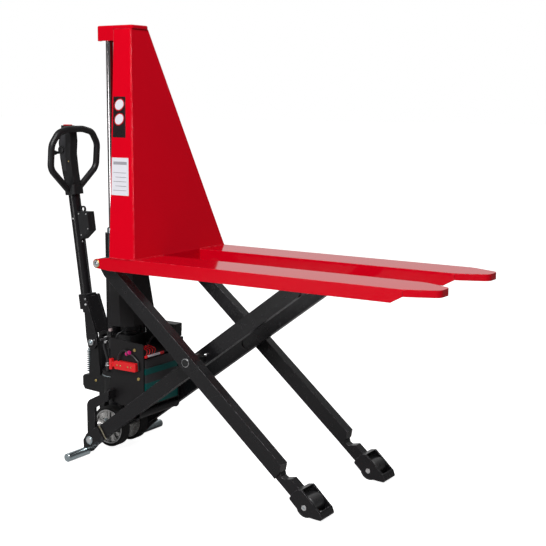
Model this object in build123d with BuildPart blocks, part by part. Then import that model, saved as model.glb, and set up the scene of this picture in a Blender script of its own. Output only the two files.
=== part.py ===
"""High-lift scissor pallet truck, shown with its forks raised.

X runs forward along the forks, Y to the left of a driver at the tiller, Z up.
The origin is on the floor, under the middle of the truck's overall box.
"""

import os
from math import asin, cos, radians, sin

from build123d import *

os.makedirs("parts", exist_ok=True)

RIGHT, LEFT = -1, 1
SIDES = ((RIGHT, "right"), (LEFT, "left"))

# ---- driving dimensions, mm -------------------------------------------------
heel_x = -267.25           # foot of the mast plate, where the usable fork length starts

fork_length = 1150.0
fork_outer = 270.0         # half of the overall fork width
fork_inner = 110.0         # half of the gap between the forks
fork_top = 800.0           # raised fork height
fork_plate = 5.0
fork_depth = 48.0
fork_depth_front = 45.0

roller_z = 37.0            # load-roller axle height, which is also the roller radius
rear_pivot_drop = 26.0     # fork top down to the rear pivot
rear_pivot_x = heel_x - 180.0
upper_reach = 500.0        # rear pivot to the middle pivot, on the outer arm
lower_reach = 650.0        # middle pivot to the load-roller axle, on the outer arm
inner_reach = 665.0        # lower pivot to the middle pivot, on the inner arm
lower_pivot_z = 58.0

arm_half = 28.0            # half the height of an arm tube
arm_wall = 4.0
outer_arm = (205.0, 245.0)     # distance of an outer arm's faces from the centre plane
inner_arm = (119.0, 151.0)
pin_play = 0.06            # radial running clearance of every pin and axle

lift_axis_x = heel_x - 338.0   # lift cylinder and steering axis
rod_radius = 15.0
cylinder_radius = 30.0
cylinder_bottom = 104.0
cylinder_top = 850.0

mast_height = 818.0
mast_lean = 190.0          # how far the mast plate leans back over its height
mast_top_half = 48.5
mast_plate_thickness = 5.0
flange_bottom_depth = 118.0
mast_top_z = fork_top + mast_height

# ---- linkage, worked out from the dimensions above --------------------------
rear_pivot_z = fork_top - rear_pivot_drop
outer_angle = asin((rear_pivot_z - roller_z) / (upper_reach + lower_reach))
middle_x = rear_pivot_x + upper_reach * cos(outer_angle)
middle_z = roller_z + lower_reach * sin(outer_angle)
roller_x = middle_x + lower_reach * cos(outer_angle)
inner_angle = asin((middle_z - lower_pivot_z) / inner_reach)
lower_pivot_x = middle_x - inner_reach * cos(inner_angle)
inner_upper_reach = inner_reach * upper_reach / lower_reach
inner_length = inner_reach + inner_upper_reach
fork_roller_x = lower_pivot_x + inner_length * cos(inner_angle)
fork_roller_z = lower_pivot_z + inner_length * sin(inner_angle)
fork_roller_radius = fork_top - fork_plate - fork_roller_z - 0.3


# ---- helpers ----------------------------------------------------------------
def save(builder, label):
    """Label a finished piece and write it to its own STEP file."""
    builder.part.label = label
    export_step(builder.part, f"parts/{label}.step")


def side_plane(side, inner, outer):
    """XZ sketch plane whose extrusion by outer - inner fills that band of one side."""
    return Plane.XZ.offset(inner if side == RIGHT else -outer)


def inner_arm_plane(side, inner, outer):
    """Side plane with its origin on the lower pivot and its X axis along the inner arm."""
    y = side * (inner if side == RIGHT else outer)
    return Plane(
        origin=(lower_pivot_x, y, lower_pivot_z),
        x_dir=(cos(inner_angle), 0, sin(inner_angle)),
        z_dir=(0, -1, 0),
    )


def outer_arm_plane(side, inner, outer):
    """Side plane with its origin on the rear pivot and its X axis down along the outer arm."""
    y = side * (inner if side == RIGHT else outer)
    return Plane(
        origin=(rear_pivot_x, y, rear_pivot_z),
        x_dir=(cos(outer_angle), 0, -sin(outer_angle)),
        z_dir=(0, -1, 0),
    )


def block(x_range, y_range, z_range):
    """Plain box between two X, two Y and two Z values, added to the current part."""
    with BuildSketch(Plane.XY.offset(z_range[0])) as base:
        with Locations((sum(x_range) / 2, sum(y_range) / 2)):
            Rectangle(x_range[1] - x_range[0], y_range[1] - y_range[0])
    extrude(base.sketch, amount=z_range[1] - z_range[0])


def upright(radius, x, y, z_range, mode=Mode.ADD):
    """Vertical cylinder, added to or cut from the current part."""
    with BuildSketch(Plane.XY.offset(z_range[0])) as base:
        with Locations((x, y)):
            Circle(radius)
    extrude(base.sketch, amount=z_range[1] - z_range[0], mode=mode)


def cross_pin(radius, x, z, side, inner, outer, mode=Mode.ADD):
    """Cylinder along Y over a band of one side, added to or cut from the current part."""
    with BuildSketch(side_plane(side, inner, outer)) as base:
        with Locations((x, z)):
            Circle(radius)
    extrude(base.sketch, amount=outer - inner, mode=mode)


def through_pin(radius, x, z, half_width, mode=Mode.ADD):
    """Cylinder along Y, symmetric about the centre plane."""
    with BuildSketch(Plane.XZ) as base:
        with Locations((x, z)):
            Circle(radius)
    extrude(base.sketch, amount=half_width, both=True, mode=mode)


def outline(points):
    """Closed polygon face in the current sketch."""
    Polygon(*points, align=None)


# ---- forks ------------------------------------------------------------------
nose_taper = 105.0
nose_half = 34.0
lip_depth = 23.0
rail_step = 0.4            # the rail behind the heel stands this far under the deck
ear_radius = 17.0
ear_thickness = 8.0
rear_pin_radius = 12.0
fork_centre = (fork_outer + fork_inner) / 2
nose_x = heel_x + fork_length
side_wall_end = heel_x + 1005.0

for side, name in SIDES:
    with BuildPart() as fork:
        with BuildSketch(Plane.XY.offset(fork_top)) as deck:
            with BuildLine():
                Polyline(
                    (heel_x, side * fork_inner),
                    (heel_x, side * fork_outer),
                    (nose_x - nose_taper, side * fork_outer),
                    (nose_x, side * (fork_centre + nose_half)),
                    (nose_x, side * (fork_centre - nose_half)),
                    (nose_x - nose_taper, side * fork_inner),
                    close=True,
                )
            make_face()
            fillet(deck.vertices().group_by(Axis.X)[-1], radius=28)
            shoulders = deck.vertices().filter_by(lambda v: abs(v.X - nose_x + nose_taper) < 1)
            fillet(shoulders, radius=90)
        extrude(amount=-lip_depth)
        hollow_length = nose_x - nose_taper - heel_x - 5
        with BuildSketch(Plane.XY.offset(fork_top - lip_depth)):
            with Locations((heel_x + hollow_length / 2, side * fork_centre)):
                Rectangle(hollow_length, fork_outer - fork_inner - 2 * fork_plate)
        extrude(amount=lip_depth - fork_plate, mode=Mode.SUBTRACT)
        wall_profile = [
            (heel_x, fork_top - fork_plate),
            (heel_x, fork_top - fork_depth),
            (side_wall_end, fork_top - fork_depth_front),
            (nose_x - nose_taper, fork_top - lip_depth),
            (nose_x - nose_taper, fork_top - fork_plate),
        ]
        with BuildSketch(side_plane(side, fork_inner, fork_inner + fork_plate)):
            outline(wall_profile)
        extrude(amount=fork_plate)
        with BuildSketch(side_plane(side, fork_outer - fork_plate, fork_outer)):
            outline(wall_profile)
        extrude(amount=fork_plate)
        with BuildSketch(side_plane(side, fork_outer - ear_thickness, fork_outer)):
            outline([
                (heel_x, fork_top - rail_step),
                (heel_x - flange_bottom_depth, fork_top - rail_step),
                (rear_pivot_x, rear_pivot_z + ear_radius),
                (rear_pivot_x, rear_pivot_z - ear_radius),
                (heel_x - 120, fork_top - fork_depth),
                (heel_x, fork_top - fork_depth),
            ])
            with Locations((rear_pivot_x, rear_pivot_z)):
                Circle(ear_radius)
                Circle(rear_pin_radius + pin_play, mode=Mode.SUBTRACT)
        extrude(amount=ear_thickness)
    save(fork, f"fork_{name}")

# ---- mast: leaning plate, two flanges and the cap that the rod pushes -------
plate_bottom_half = fork_outer
flange_top_depth = 84.0
cap_front = heel_x - 186.0
cap_rear = heel_x - 360.0
cap_skirt = 56.0
cap_top = mast_top_z + 14.0
cap_plate = 6.0
lean = mast_lean / mast_height

with BuildPart() as mast_plate:
    with BuildSketch(Plane.YZ.offset(heel_x - mast_lean - 20)):
        outline([
            (-plate_bottom_half, fork_top),
            (plate_bottom_half, fork_top),
            (mast_top_half, mast_top_z),
            (-mast_top_half, mast_top_z),
        ])
    extrude(amount=mast_lean + 20)
    with BuildSketch(Plane.XZ):
        outline([
            (heel_x, fork_top),
            (heel_x - mast_lean, mast_top_z),
            (heel_x - mast_lean - mast_plate_thickness, mast_top_z),
            (heel_x - mast_plate_thickness, fork_top),
        ])
    extrude(amount=fork_outer + 1, both=True, mode=Mode.INTERSECT)
    cross_plate_z = (fork_top - fork_depth, fork_top)
    block((heel_x - mast_plate_thickness, heel_x), (-fork_inner, fork_inner), cross_plate_z)
save(mast_plate, "mast_plate")

for side, name in SIDES:
    with BuildPart() as flange:
        with BuildSketch(Plane.XZ):
            outline([
                (heel_x - mast_plate_thickness, fork_top),
                (heel_x - mast_plate_thickness - mast_lean, mast_top_z),
                (heel_x - mast_lean - flange_top_depth, mast_top_z),
                (heel_x - flange_bottom_depth, fork_top),
            ])
        extrude(amount=fork_outer + 1, both=True)
        with BuildSketch(Plane.YZ.offset(heel_x - mast_lean - flange_bottom_depth)):
            outline([
                (side * plate_bottom_half, fork_top),
                (side * mast_top_half, mast_top_z),
                (side * (mast_top_half - mast_plate_thickness), mast_top_z),
                (side * (plate_bottom_half - mast_plate_thickness), fork_top),
            ])
        extrude(amount=mast_lean + flange_bottom_depth, mode=Mode.INTERSECT)
    save(flange, f"mast_flange_{name}")

with BuildPart() as mast_cap:
    cap_half = mast_top_half + 0.5
    with BuildSketch(Plane.XY.offset(cap_top - cap_skirt)):
        with Locations(((cap_front + cap_rear) / 2, 0)):
            RectangleRounded(cap_front - cap_rear, 2 * cap_half, radius=12)
    extrude(amount=cap_skirt)
    fillet(mast_cap.faces().sort_by(Axis.Z)[-1].edges(), radius=6)
    with BuildSketch(Plane.XY.offset(cap_top - cap_skirt)):
        with Locations(((cap_front + cap_rear) / 2, 0)):
            RectangleRounded(cap_front - cap_rear - 10, 2 * (cap_half - 5), radius=7)
    extrude(amount=cap_skirt - cap_plate, mode=Mode.SUBTRACT)
    with BuildSketch(Plane.XZ):
        outline([
            (heel_x - mast_lean - flange_top_depth - 1, cap_top - cap_skirt - 1),
            (heel_x - mast_lean - flange_top_depth - 1, mast_top_z + 0.1),
            (cap_front + 1, mast_top_z + 0.1),
            (cap_front + 1, cap_top - cap_skirt - 1),
        ])
    extrude(amount=cap_half + 1, both=True, mode=Mode.SUBTRACT)
    with BuildSketch(Plane.XY.offset(cap_top - cap_skirt)):
        with Locations((cap_rear, 0)):
            Rectangle(60, 2 * rod_radius + 18)
    extrude(amount=cap_skirt - cap_plate, mode=Mode.SUBTRACT)
save(mast_cap, "mast_cap")

with BuildPart() as rear_pins:
    for side, name in SIDES:
        cross_pin(rear_pin_radius, rear_pivot_x, rear_pivot_z, side, outer_arm[0] + 6, fork_outer + 3)
save(rear_pins, "rear_pivot_pins")

# ---- outer arms with their foot brackets and load rollers -------------------
outer_length = upper_reach + lower_reach
outer_tube_end = outer_length - 156.0
taper_start, taper_end = 170.0, 430.0
tapered_half = 22.5
middle_pin_radius = 15.0

for side, name in SIDES:
    with BuildPart() as arm:
        width = outer_arm[1] - outer_arm[0]
        with BuildSketch(outer_arm_plane(side, *outer_arm)):
            with BuildLine():
                Polyline(
                    (0, ear_radius),
                    (30, tapered_half),
                    (taper_start, tapered_half),
                    (taper_end, arm_half),
                    (outer_tube_end, arm_half),
                    (outer_tube_end + 14, 4),
                    (outer_tube_end + 14, -arm_half),
                    (40, -arm_half),
                    (0, -ear_radius),
                    close=True,
                )
            make_face()
            Circle(ear_radius)
        extrude(amount=width)
        with BuildSketch(outer_arm_plane(side, outer_arm[0] + arm_wall, outer_arm[1] - arm_wall)):
            outline([
                (60, tapered_half - arm_wall),
                (taper_start, tapered_half - arm_wall),
                (taper_end, arm_half - arm_wall),
                (outer_tube_end - 10, arm_half - arm_wall),
                (outer_tube_end - 10, -arm_half + arm_wall),
                (60, -arm_half + arm_wall),
            ])
        extrude(amount=width - 2 * arm_wall, mode=Mode.SUBTRACT)
        pin_hole = rear_pin_radius + pin_play
        cross_pin(pin_hole, rear_pivot_x, rear_pivot_z, side, *outer_arm, mode=Mode.SUBTRACT)
        cross_pin(middle_pin_radius, middle_x, middle_z, side, *outer_arm, mode=Mode.SUBTRACT)
    save(arm, f"outer_arm_{name}")

foot_mid = 221.0
foot_half = 41.0
foot_wall = 7.0
neck_half = 17.0
roller_axle_radius = 9.0

for side, name in SIDES:
    with BuildPart() as foot:
        neck = (foot_mid - neck_half, foot_mid + neck_half)
        with BuildSketch(outer_arm_plane(side, *neck)):
            outline([
                (outer_tube_end + 14.02, -arm_half),
                (outer_tube_end + 14.02, 0),
                (outer_tube_end + 26, -8),
                (outer_tube_end + 38, -6),
                (outer_tube_end + 56, 18),
                (outer_length - 54, 18),
                (outer_length - 54, -arm_half),
            ])
        extrude(amount=2 * neck_half)
        bracket = (foot_mid - foot_half, foot_mid + foot_half)
        with BuildSketch(outer_arm_plane(side, *bracket)) as bracket_side:
            with BuildLine():
                Polyline(
                    (outer_length - 60, 20),
                    (outer_length - 46, 38),
                    (outer_length + 52, 34),
                    (outer_length + 74, 21),
                    (outer_length + 54, 5),
                    (outer_length + 16, -23),
                    (outer_length - 24, -24),
                    (outer_length - 59, -22),
                    close=True,
                )
            make_face()
            fillet(bracket_side.vertices(), radius=6)
        extrude(amount=2 * foot_half)
        with BuildSketch(outer_arm_plane(side, bracket[0] + foot_wall, bracket[1] - foot_wall)):
            outline([
                (outer_length - 46, 60),
                (outer_length + 46, 60),
                (outer_length + 46, 0),
                (outer_length + 42, -40),
                (outer_length - 46, -40),
            ])
        extrude(amount=2 * (foot_half - foot_wall), mode=Mode.SUBTRACT)
        cross_pin(roller_axle_radius, roller_x, roller_z, side, *bracket, mode=Mode.SUBTRACT)
    save(foot, f"foot_bracket_{name}")

with BuildPart() as roller_axles:
    for side, name in SIDES:
        axle_band = (foot_mid - foot_half - 1.5, foot_mid + foot_half + 1.5)
        cross_pin(roller_axle_radius, roller_x, roller_z, side, *axle_band)
save(roller_axles, "roller_axles")

for side, name in SIDES:
    with BuildPart() as load_roller:
        roller_band = (foot_mid - foot_half + foot_wall + 1.5, foot_mid + foot_half - foot_wall - 1.5)
        cross_pin(roller_z, roller_x, roller_z, side, *roller_band)
        cross_pin(roller_axle_radius + pin_play, roller_x, roller_z, side, *roller_band, mode=Mode.SUBTRACT)
        chamfer(load_roller.edges().filter_by(GeomType.CIRCLE).group_by(SortBy.RADIUS)[-1], length=2)
    save(load_roller, f"load_roller_{name}")

with BuildPart() as middle_pins:
    pin_band = (inner_arm[0] + 6, outer_arm[1] + 3)
    hollow_band = (inner_arm[0] + 12, outer_arm[1] + 4)
    hollow_radius = middle_pin_radius - 2.5
    for side, name in SIDES:
        cross_pin(middle_pin_radius, middle_x, middle_z, side, *pin_band)
        cross_pin(hollow_radius, middle_x, middle_z, side, *hollow_band, mode=Mode.SUBTRACT)
save(middle_pins, "main_pivot_pins")

# ---- inner arms, heel plates, cross tube, stabilisers, fork rollers ---------
inner_tube_start = 50.0
weld_pad_length = 12.0
inner_tube_end = inner_length - 46.0
inner_taper_start, inner_taper_end = 340.0, 570.0
inner_low_half = 24.5       # the tube's lower end clears the deck with the forks down
fork_axle_radius = 8.0
heel_plate_band = (153.0, 165.0)
lower_pin_radius = 11.0
stabiliser_radius = 16.0
stabiliser_x = lower_pivot_x - 10.0
stabiliser_outer = 280.0

for side, name in SIDES:
    with BuildPart() as arm:
        width = inner_arm[1] - inner_arm[0]
        with BuildSketch(inner_arm_plane(side, *inner_arm)):
            outline([
                (inner_tube_start, -arm_half),
                (inner_tube_end, -arm_half),
                (inner_length + 12, -14),
                (inner_length + 12, 14),
                (inner_tube_end, arm_half),
                (inner_taper_end, arm_half),
                (inner_taper_start, inner_low_half),
                (inner_tube_start, inner_low_half),
            ])
        extrude(amount=width)
        with BuildSketch(inner_arm_plane(side, inner_arm[0] + arm_wall, inner_arm[1] - arm_wall)):
            outline([
                (inner_tube_start + 10, -arm_half + arm_wall),
                (inner_tube_end - 10, -arm_half + arm_wall),
                (inner_tube_end - 10, arm_half - arm_wall),
                (inner_taper_end, arm_half - arm_wall),
                (inner_taper_start, inner_low_half - arm_wall),
                (inner_tube_start + 10, inner_low_half - arm_wall),
            ])
        extrude(amount=width - 2 * arm_wall, mode=Mode.SUBTRACT)
        with BuildSketch(inner_arm_plane(side, inner_arm[0] + 6, inner_arm[1] - 6)):
            with Locations((inner_length, 0)):
                Rectangle(84, 90)
        extrude(amount=width - 12, mode=Mode.SUBTRACT)
        with BuildSketch(inner_arm_plane(side, inner_arm[1] - 0.02, heel_plate_band[0])):
            with Locations((inner_tube_start + 3 + weld_pad_length / 2, 0)):
                Rectangle(weld_pad_length, 30)
        extrude(amount=heel_plate_band[0] - inner_arm[1] + 0.02)
        middle_hole = middle_pin_radius + pin_play
        cross_pin(middle_hole, middle_x, middle_z, side, *inner_arm, mode=Mode.SUBTRACT)
        cross_pin(fork_axle_radius, fork_roller_x, fork_roller_z, side, *inner_arm, mode=Mode.SUBTRACT)
    save(arm, f"inner_arm_{name}")

for side, name in SIDES:
    with BuildPart() as heel_plate:
        with BuildSketch(side_plane(side, *heel_plate_band)) as heel_side:
            with BuildLine():
                Polyline(
                    (lower_pivot_x - 30, 14),
                    (lower_pivot_x - 32, lower_pivot_z - 4),
                    (lower_pivot_x - 14, lower_pivot_z + 24),
                    (lower_pivot_x + 12, lower_pivot_z + 38),
                    (lower_pivot_x + 38, lower_pivot_z + 61),
                    (lower_pivot_x + 74, lower_pivot_z + 12),
                    (lower_pivot_x + 40, lower_pivot_z - 14),
                    (lower_pivot_x + 10, 14),
                    close=True,
                )
            make_face()
            fillet(heel_side.vertices(), radius=5)
        extrude(amount=heel_plate_band[1] - heel_plate_band[0])
        lower_hole = lower_pin_radius + pin_play
        cross_pin(lower_hole, lower_pivot_x, lower_pivot_z, side, *heel_plate_band, mode=Mode.SUBTRACT)
    save(heel_plate, f"heel_plate_{name}")

with BuildPart() as stabilisers:
    for side, name in SIDES:
        stud_band = (heel_plate_band[1], stabiliser_outer)
        cross_pin(stabiliser_radius, stabiliser_x, stabiliser_radius, side, *stud_band)
    stud_rims = stabilisers.edges().filter_by(GeomType.CIRCLE).group_by(Axis.Y)
    chamfer(stud_rims[0], length=2)
    chamfer(stud_rims[-1], length=2)
save(stabilisers, "stabiliser_feet")

with BuildPart() as inner_cross_tube:
    cross_reach, cross_drop, cross_radius = 232.0, -18.0, 21.0
    cross_x = lower_pivot_x + cross_reach * cos(inner_angle) - cross_drop * sin(inner_angle)
    cross_z = lower_pivot_z + cross_reach * sin(inner_angle) + cross_drop * cos(inner_angle)
    through_pin(cross_radius, cross_x, cross_z, inner_arm[0])
    through_pin(cross_radius - arm_wall, cross_x, cross_z, inner_arm[0], mode=Mode.SUBTRACT)
save(inner_cross_tube, "inner_cross_tube")

with BuildPart() as fork_roller_axles:
    for side, name in SIDES:
        cross_pin(fork_axle_radius, fork_roller_x, fork_roller_z, side, inner_arm[0] - 1, inner_arm[1] + 1)
save(fork_roller_axles, "fork_roller_axles")

for side, name in SIDES:
    with BuildPart() as fork_roller:
        roller_band = (inner_arm[0] + 7, inner_arm[1] - 7)
        cross_pin(fork_roller_radius, fork_roller_x, fork_roller_z, side, *roller_band)
        roller_hole = fork_axle_radius + pin_play
        cross_pin(roller_hole, fork_roller_x, fork_roller_z, side, *roller_band, mode=Mode.SUBTRACT)
        chamfer(fork_roller.edges().filter_by(GeomType.CIRCLE).group_by(SortBy.RADIUS)[-1], length=1)
    save(fork_roller, f"fork_roller_{name}")

# ---- chassis ----------------------------------------------------------------
chassis_rear = heel_x - 266.0
chassis_front = heel_x - 104.0
chassis_half = 104.0
tray_z = 208.0
shelf_z = 402.0
sheet = 5.0
bearing_plate = (290.0, 306.0)
bracket_band = (139.0, 151.0)
bridge_length = 24.0       # short bridges carry the pivot brackets outside the side panels
bridge_z = (230.0, 262.0)

with BuildPart() as chassis_frame:
    block((chassis_rear, chassis_front), (-chassis_half, chassis_half), (tray_z, tray_z + sheet))
    block((chassis_rear, chassis_rear + sheet), (-chassis_half, chassis_half), (tray_z, shelf_z))
    block((chassis_rear, chassis_front), (-chassis_half, chassis_half), (shelf_z, shelf_z + sheet))
    block((lift_axis_x, chassis_rear + sheet), (-58, 58), bearing_plate)
    upright(50, lift_axis_x, 0, bearing_plate)
    upright(cylinder_radius, lift_axis_x, 0, bearing_plate, mode=Mode.SUBTRACT)
    for side in (RIGHT, LEFT):
        ends = sorted((side * (chassis_half - sheet), side * bracket_band[0]))
        block((chassis_rear + sheet, chassis_rear + bridge_length), ends, bridge_z)
save(chassis_frame, "chassis_frame")

for side, name in SIDES:
    with BuildPart() as pivot_bracket:
        rear_edge = lower_pivot_x - 22
        front_edge = lower_pivot_x + 18
        with BuildSketch(side_plane(side, *bracket_band)) as strap:
            with BuildLine():
                Polyline(
                    (rear_edge, lower_pivot_z),
                    (rear_edge, 208),
                    (chassis_rear + bridge_length, 264),
                    (chassis_rear + bridge_length, 228),
                    (front_edge, 186),
                    (front_edge, lower_pivot_z),
                    close=True,
                )
            make_face()
            fillet(strap.vertices().sort_by(Axis.X)[:2].sort_by(Axis.Y)[-1], radius=34)
            with Locations((lower_pivot_x, lower_pivot_z)):
                Circle(22)
        extrude(amount=bracket_band[1] - bracket_band[0])
        pin_seat = lower_pin_radius
        cross_pin(pin_seat, lower_pivot_x, lower_pivot_z, side, *bracket_band, mode=Mode.SUBTRACT)
    save(pivot_bracket, f"pivot_bracket_{name}")

with BuildPart() as lower_pins:
    for side, name in SIDES:
        lower_pin_band = (bracket_band[0] - 2, heel_plate_band[1] + 3)
        cross_pin(lower_pin_radius, lower_pivot_x, lower_pivot_z, side, *lower_pin_band)
save(lower_pins, "lower_pivot_pins")

with BuildPart() as steering_bearing:
    upright(52, lift_axis_x, 0, (285, bearing_plate[0]))
    upright(cylinder_radius + 0.5, lift_axis_x, 0, (285, bearing_plate[0]), mode=Mode.SUBTRACT)
save(steering_bearing, "steering_bearing")

# ---- side panels and their screws -------------------------------------------
panel_band = (chassis_half, chassis_half + 4)
panel_bottom = 203.0
panel_top_rear = 462.0
panel_top_front = 452.0
panel_screw_spots = (
    (chassis_front - 40, 427.0),
    (chassis_front - 22, 318.0),
)

for side, name in SIDES:
    with BuildPart() as side_panel:
        with BuildSketch(side_plane(side, *panel_band)):
            outline([
                (chassis_rear, panel_bottom + 20),
                (chassis_rear, panel_top_rear),
                (chassis_front + 1, panel_top_front),
                (chassis_front + 1, panel_bottom),
                (chassis_rear + 50, panel_bottom),
            ])
        extrude(amount=panel_band[1] - panel_band[0])
        for x, z in panel_screw_spots:
            cross_pin(3, x, z, side, *panel_band, mode=Mode.SUBTRACT)
        with BuildSketch(side_plane(side, *panel_band)):
            outline([
                (chassis_rear, bridge_z[0] - 0.5),
                (chassis_rear + bridge_length + 0.5, bridge_z[0] - 0.5),
                (chassis_rear + bridge_length + 0.5, bridge_z[1] + 0.5),
                (chassis_rear, bridge_z[1] + 0.5),
            ])
        extrude(amount=panel_band[1] - panel_band[0], mode=Mode.SUBTRACT)
    save(side_panel, f"side_panel_{name}")

with BuildPart() as panel_screws:
    for side, name in SIDES:
        for x, z in panel_screw_spots:
            cross_pin(3, x, z, side, panel_band[0], panel_band[1])
            cross_pin(6, x, z, side, panel_band[1] + 0.02, panel_band[1] + 3)
            cross_pin(3, x, z, side, panel_band[1], panel_band[1] + 1)
save(panel_screws, "panel_screws")

# ---- battery ----------------------------------------------------------------
battery_half = 96.0
battery_front = chassis_front + 2

with BuildPart() as battery_case:
    block((chassis_rear + 8, battery_front), (-battery_half, battery_half), (tray_z + sheet, 358))
    fillet(battery_case.edges().filter_by(Axis.Z), radius=6)
save(battery_case, "battery_case")

with BuildPart() as battery_lid:
    block((chassis_rear + 10, battery_front - 3), (-battery_half + 3, battery_half - 3), (358, 392))
    fillet(battery_lid.edges().filter_by(Axis.Z), radius=6)
save(battery_lid, "battery_lid")

# ---- lift cylinder and rod --------------------------------------------------
piston_bottom = 828.0
piston_thickness = 14.0
gland_bottom = 843.0
cylinder_bore = 25.0

with BuildPart() as cylinder_tube:
    upright(cylinder_radius, lift_axis_x, 0, (cylinder_bottom, cylinder_top))
    upright(cylinder_bore, lift_axis_x, 0, (cylinder_bottom + 8, cylinder_top), mode=Mode.SUBTRACT)
save(cylinder_tube, "cylinder_tube")

with BuildPart() as cylinder_gland:
    upright(cylinder_bore, lift_axis_x, 0, (gland_bottom, cylinder_top))
    upright(22, lift_axis_x, 0, (cylinder_top, cylinder_top + 18))
    upright(rod_radius + pin_play, lift_axis_x, 0, (gland_bottom, cylinder_top + 18), mode=Mode.SUBTRACT)
save(cylinder_gland, "cylinder_gland")

with BuildPart() as piston_rod:
    upright(rod_radius, lift_axis_x, 0, (piston_bottom + piston_thickness, cap_top - cap_plate - 0.5))
    upright(cylinder_bore - pin_play, lift_axis_x, 0, (piston_bottom, piston_bottom + piston_thickness))
    chamfer(piston_rod.edges().sort_by(Axis.Z)[-1], length=2)
save(piston_rod, "piston_rod")

# ---- power pack under the rod cover -----------------------------------------
power_x = heel_x - 258.0
pump_z = (407.0, 462.0)
motor_z = (462.0, 600.0)
tank_z = (600.0, 700.0)

with BuildPart() as pump_block:
    block((power_x - 44, power_x + 44), (-46, 46), pump_z)
    fillet(pump_block.edges().filter_by(Axis.Z), radius=5)
save(pump_block, "pump_block")

with BuildPart() as pump_motor:
    upright(36, power_x, 0, motor_z)
save(pump_motor, "pump_motor")

with BuildPart() as oil_tank:
    upright(30, power_x, 0, tank_z)
    fillet(oil_tank.edges().sort_by(Axis.Z)[-1], radius=12)
save(oil_tank, "oil_tank")


def cover_outline(half_low, front, grow):
    """Half-hexagon plan of the rod cover, open towards the driver."""
    rear = heel_x - 282.0
    chamfered = front - 42
    return [
        (rear - grow, -half_low),
        (chamfered, -half_low),
        (front, -half_low + 34),
        (front, half_low - 34),
        (chamfered, half_low),
        (rear - grow, half_low),
    ]


cover_bottom, cover_top = 507.0, 744.0
cover_low = (100.0, heel_x - 180.0)     # half width and front of the cover at its bottom
cover_high = (76.0, heel_x - 206.0)     # the same at its top
cover_sheet = 3.0
with BuildPart() as rod_cover:
    with BuildSketch(Plane.XY.offset(cover_bottom)):
        outline(cover_outline(*cover_low, 0))
    with BuildSketch(Plane.XY.offset(cover_top)):
        outline(cover_outline(*cover_high, 0))
    loft()
    with BuildSketch(Plane.XY.offset(cover_bottom)):
        outline(cover_outline(cover_low[0] - cover_sheet, cover_low[1] - cover_sheet, 5))
    with BuildSketch(Plane.XY.offset(cover_top - cover_sheet)):
        outline(cover_outline(cover_high[0] - cover_sheet, cover_high[1] - cover_sheet, 5))
    loft(mode=Mode.SUBTRACT)
save(rod_cover, "rod_cover")

with BuildPart() as controller_box:
    block((heel_x - 282, heel_x - 112), (98, 142), (464, 495))
    fillet(controller_box.edges().filter_by(Axis.Z), radius=3)
    block((heel_x - 168, heel_x - 115), (110, 142), (443, 466))
    block((heel_x - 160, heel_x - 98), (112, 130), (428, 444))
save(controller_box, "controller_box")

# ---- battery connector: fixed socket, pull-out plug and its cables ----------
socket_x = (heel_x - 233.0, heel_x - 129.0)
socket_z = (346.0, 378.0)
socket_y = (-124.0, -panel_band[1])

with BuildPart() as connector_socket:
    block(socket_x, socket_y, socket_z)
    fillet(connector_socket.edges().filter_by(Axis.Y), radius=4)
    with BuildSketch(Plane.YZ.offset(socket_x[0] - 1)):
        with Locations((-116, 362)):
            Rectangle(11, 19)
    extrude(amount=24, mode=Mode.SUBTRACT)
save(connector_socket, "connector_socket")

with BuildPart() as connector_plug:
    block((socket_x[0] - 16, socket_x[0] + 20), (-120.5, -111.5), (353, 371))
    block((socket_x[0] - 26, socket_x[0] - 14), (-124, -109.5), (341, 383))
    fillet(connector_plug.edges().filter_by(Axis.Y), radius=3)
save(connector_plug, "connector_plug")

cable_radius = 3.5
cable_routes = (
    ((-216, 378), (-216, 396), (-202, 416), (-186, 425), (-172, 418), (-166, 406)),
    ((-178, 408), (-160, 410), (-142, 400), (-124, 384), (-122, 364), (-122, 352)),
)
with BuildPart() as connector_cables:
    for route_y, route in zip((-119.5, -112.2), cable_routes):
        points = [(heel_x + x, route_y, z) for x, z in route]
        with BuildLine() as path:
            FilletPolyline(*points, radius=[9, 10, 8, 8])
        with BuildSketch(Plane(origin=points[0], z_dir=path.line % 0)):
            Circle(cable_radius)
        sweep()
save(connector_cables, "connector_cables")

# ---- hydraulic hose from the pump to the cylinder base ----------------------
hose_radius = 6.0
hose_route = [
    (heel_x - 312, -40, 446),
    (heel_x - 334, -40, 446),
    (heel_x - 352, -43, 430),
    (heel_x - 354, -45, 404),
    (heel_x - 346, -43, 378),
    (heel_x - 340, -40, 354),
    (heel_x - 340, -40, 328),
]
with BuildPart() as hydraulic_hose:
    with BuildLine() as path:
        FilletPolyline(*hose_route, radius=[20, 22, 30, 34, 30])
    with BuildSketch(Plane(origin=hose_route[0], z_dir=path.line % 0)):
        Circle(hose_radius)
    sweep()
    block((heel_x - 312, power_x - 44), (-46, -32), (438, 454))
    upright(8.5, heel_x - 340, -40, (306, 328))
save(hydraulic_hose, "hydraulic_hose")

# ---- steering head, wheels and return spring --------------------------------
wheel_offset = 24.0        # wheel axle ahead of the steering axis
wheel_radius = 80.0
wheel_z = 92.0             # the stabilisers hold the wheels just clear of the floor
wheel_band = (34.0, 74.0)
axle_radius = 9.0
tyre_thickness = 12.0
sleeve = (31.0, 46.0)
sleeve_z = (202.0, 284.7)
tiller_pivot_x = heel_x - 421.0
tiller_pivot_z = 412.0
lug_band = (14.0, 28.0)
spring_x = heel_x - 473.0
axle_x = lift_axis_x + wheel_offset

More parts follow.
